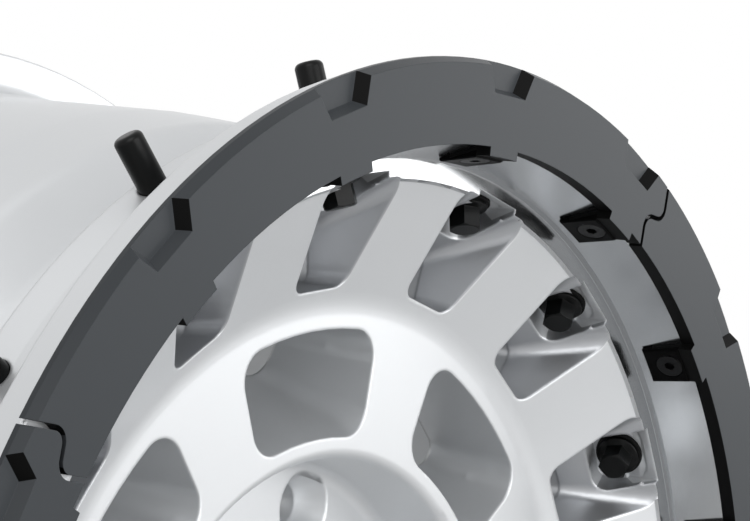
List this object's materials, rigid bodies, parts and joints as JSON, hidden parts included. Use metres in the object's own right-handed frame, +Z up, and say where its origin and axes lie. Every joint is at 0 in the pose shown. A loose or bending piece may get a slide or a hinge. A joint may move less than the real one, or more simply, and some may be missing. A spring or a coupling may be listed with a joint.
{
  "type": "car wheel",
  "caption": "Off-road car wheel with a dished, windowed disc, hex-headed pins through the barrel that lock the tyre bead, and a segmented guard ring clipped to the front flange.",
  "frame": {"origin": "centre of the hub mounting face, on the wheel's axis", "axes": "+Y along the wheel's axis, inboard toward the vehicle; the outboard face looks toward -Y; +Z up"},
  "size_m": [0.4754, 0.2474, 0.4754],
  "materials": {
    "wheel": "satin silver paint with a machined lip",
    "guard_ring": "satin grey anodised",
    "clip": "black anodised",
    "screw": "black coated",
    "pin": "black coated",
    "seal": "matte"
  },
  "bodies": {
    "root": {"wheel": "wheel", "guard_ring_1": "guard_ring", "guard_ring_2": "guard_ring", "guard_ring_3": "guard_ring", "guard_ring_4": "guard_ring", "guard_clip_01": "clip", "guard_clip_02": "clip", "guard_clip_03": "clip", "guard_clip_04": "clip", "guard_clip_05": "clip", "guard_clip_06": "clip", "guard_clip_07": "clip", "guard_clip_08": "clip", "guard_clip_09": "clip", "guard_clip_10": "clip", "guard_clip_11": "clip", "guard_clip_12": "clip", "guard_clip_13": "clip", "guard_clip_14": "clip", "guard_clip_15": "clip", "guard_clip_16": "clip", "clip_screws": "screw", "lock_pins": "pin", "lock_pin_seals": "seal"}
  },
  "joints": []
}
